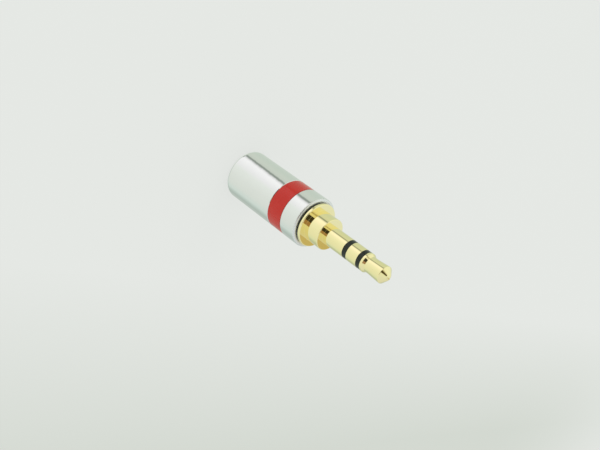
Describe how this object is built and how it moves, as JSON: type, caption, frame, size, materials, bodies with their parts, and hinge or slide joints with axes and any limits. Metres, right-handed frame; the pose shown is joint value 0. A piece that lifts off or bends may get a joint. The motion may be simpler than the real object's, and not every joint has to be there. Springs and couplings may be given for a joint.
{
  "type": "stereo jack plug",
  "caption": "Metal-shelled stereo jack plug: gold contact shaft with black insulators, flange and collar, a screw-on chrome shell with a red band, and a rear cable inlet.",
  "frame": {"origin": "centre of the shell's rear face, which the plug stands on", "axes": "+Z along the plug's axis, from the cable end to the tip; the ground clamp's strip is on the -X side and the ring terminal on the +Y side"},
  "size_m": [0.0094, 0.0094, 0.0375],
  "materials": {
    "chrome_plate": "bright plated, turned brass underneath",
    "red_enamel": "glossy enamel fill",
    "liner_plastic": "plain tube",
    "gold_plate": "bright gold plate on brass",
    "black_insulator": "moulded, semi-gloss",
    "washer_fibre": "pressed fibre",
    "terminal_brass": "stamped sheet, dull"
  },
  "bodies": {
    "shell": {"shell": "chrome_plate", "colour_band": "red_enamel"},
    "liner": {"liner_tube": "liner_plastic"},
    "plug": {"plug_body": "gold_plate", "mouth_washer": "black_insulator", "ring_insulator": "black_insulator", "ring_contact": "gold_plate", "tip_insulator": "black_insulator", "tip_contact": "gold_plate", "body_washer": "washer_fibre", "ring_lug": "terminal_brass", "lug_washer": "washer_fibre", "tip_lug": "terminal_brass", "ground_clamp": "gold_plate"}
  },
  "joints": [
    {"name": "plug_turn", "type": "hinge", "parent": "shell", "child": "liner", "pos_m": [0, 0, 0.014], "axis": [0, 0, 1], "range_deg": [0, 2160]},
    {"name": "plug_draw", "type": "slide", "parent": "liner", "child": "plug", "axis": [0, 0, 1], "range_m": [0, 0.0045]}
  ],
  "couplings": [
    {"joint": "plug_turn", "follows": "plug_draw", "rad_per_m": 8377.6}
  ]
}
